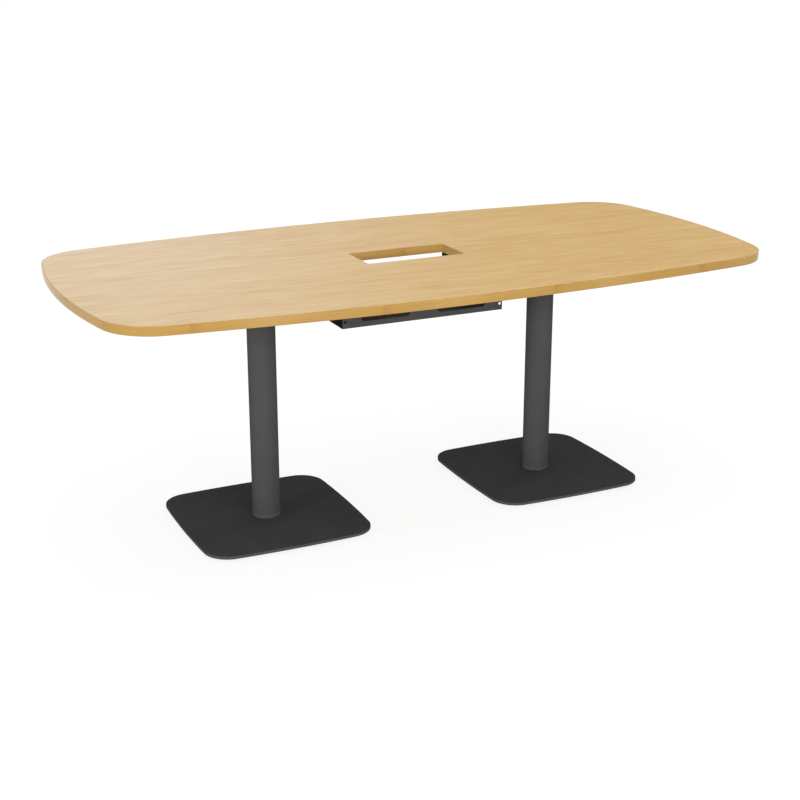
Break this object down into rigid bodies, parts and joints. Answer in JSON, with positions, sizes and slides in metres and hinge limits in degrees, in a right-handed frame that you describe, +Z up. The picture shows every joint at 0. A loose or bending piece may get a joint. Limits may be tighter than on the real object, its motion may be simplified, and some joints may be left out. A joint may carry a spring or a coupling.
{
  "type": "conference table",
  "caption": "Conference table: boat-shaped wood-look top with a cable cut-out over a hung sheet-metal cable tray, on round columns with square foot plates and levelling glides.",
  "frame": {"origin": "on the floor under the middle of the top", "axes": "+X along the length of the top, +Y to the rear, +Z up"},
  "size_m": [2, 1, 0.74],
  "materials": {
    "melamine": "melamine-faced board, pale beech grain, satin",
    "edging": "wood-print edging strip, satin, golden beech",
    "anthracite_steel": "fine-textured matte anthracite powder coat",
    "zinc_steel": "zinc-plated steel",
    "black_plastic": "moulded matte black polyamide"
  },
  "bodies": {
    "table": {"top_panel": "melamine", "edge_band": "edging", "cutout_edge_band": "edging", "base_plate_left": "anthracite_steel", "column_flange_left": "anthracite_steel", "column_left": "anthracite_steel", "top_plate_left": "anthracite_steel", "base_screw_left_1": "zinc_steel", "base_screw_left_2": "zinc_steel", "base_screw_left_3": "zinc_steel", "base_screw_left_4": "zinc_steel", "top_plate_screw_left_1": "zinc_steel", "top_plate_screw_left_2": "zinc_steel", "top_plate_screw_left_3": "zinc_steel", "top_plate_screw_left_4": "zinc_steel", "base_plate_right": "anthracite_steel", "column_flange_right": "anthracite_steel", "column_right": "anthracite_steel", "top_plate_right": "anthracite_steel", "base_screw_right_1": "zinc_steel", "base_screw_right_2": "zinc_steel", "base_screw_right_3": "zinc_steel", "base_screw_right_4": "zinc_steel", "top_plate_screw_right_1": "zinc_steel", "top_plate_screw_right_2": "zinc_steel", "top_plate_screw_right_3": "zinc_steel", "top_plate_screw_right_4": "zinc_steel", "glide_stud_left_front_outer": "zinc_steel", "glide_stud_left_front_inner": "zinc_steel", "glide_stud_left_rear_outer": "zinc_steel", "glide_stud_left_rear_inner": "zinc_steel", "glide_stud_right_front_outer": "zinc_steel", "glide_stud_right_front_inner": "zinc_steel", "glide_stud_right_rear_outer": "zinc_steel", "glide_stud_right_rear_inner": "zinc_steel", "cable_tray": "anthracite_steel", "tray_hanger_left": "anthracite_steel", "tray_screw_left_front_1": "zinc_steel", "tray_screw_left_front_2": "zinc_steel", "tray_screw_left_rear_1": "zinc_steel", "tray_screw_left_rear_2": "zinc_steel", "tray_rivet_left_front": "zinc_steel", "tray_rivet_left_rear": "zinc_steel", "tray_hanger_right": "anthracite_steel", "tray_screw_right_front_1": "zinc_steel", "tray_screw_right_front_2": "zinc_steel", "tray_screw_right_rear_1": "zinc_steel", "tray_screw_right_rear_2": "zinc_steel", "tray_rivet_right_front": "zinc_steel", "tray_rivet_right_rear": "zinc_steel"},
    "glide_left_front_outer": {"glide_foot_left_front_outer": "black_plastic"},
    "glide_left_front_inner": {"glide_foot_left_front_inner": "black_plastic"},
    "glide_left_rear_outer": {"glide_foot_left_rear_outer": "black_plastic"},
    "glide_left_rear_inner": {"glide_foot_left_rear_inner": "black_plastic"},
    "glide_right_front_outer": {"glide_foot_right_front_outer": "black_plastic"},
    "glide_right_front_inner": {"glide_foot_right_front_inner": "black_plastic"},
    "glide_right_rear_outer": {"glide_foot_right_rear_outer": "black_plastic"},
    "glide_right_rear_inner": {"glide_foot_right_rear_inner": "black_plastic"}
  },
  "joints": [
    {"name": "level_left_front_outer", "type": "slide", "parent": "table", "child": "glide_left_front_outer", "axis": [0, 0, -1], "range_m": [0, 0.004]},
    {"name": "level_left_front_inner", "type": "slide", "parent": "table", "child": "glide_left_front_inner", "axis": [0, 0, -1], "range_m": [0, 0.004]},
    {"name": "level_left_rear_outer", "type": "slide", "parent": "table", "child": "glide_left_rear_outer", "axis": [0, 0, -1], "range_m": [0, 0.004]},
    {"name": "level_left_rear_inner", "type": "slide", "parent": "table", "child": "glide_left_rear_inner", "axis": [0, 0, -1], "range_m": [0, 0.004]},
    {"name": "level_right_front_outer", "type": "slide", "parent": "table", "child": "glide_right_front_outer", "axis": [0, 0, -1], "range_m": [0, 0.004]},
    {"name": "level_right_front_inner", "type": "slide", "parent": "table", "child": "glide_right_front_inner", "axis": [0, 0, -1], "range_m": [0, 0.004]},
    {"name": "level_right_rear_outer", "type": "slide", "parent": "table", "child": "glide_right_rear_outer", "axis": [0, 0, -1], "range_m": [0, 0.004]},
    {"name": "level_right_rear_inner", "type": "slide", "parent": "table", "child": "glide_right_rear_inner", "axis": [0, 0, -1], "range_m": [0, 0.004]}
  ]
}
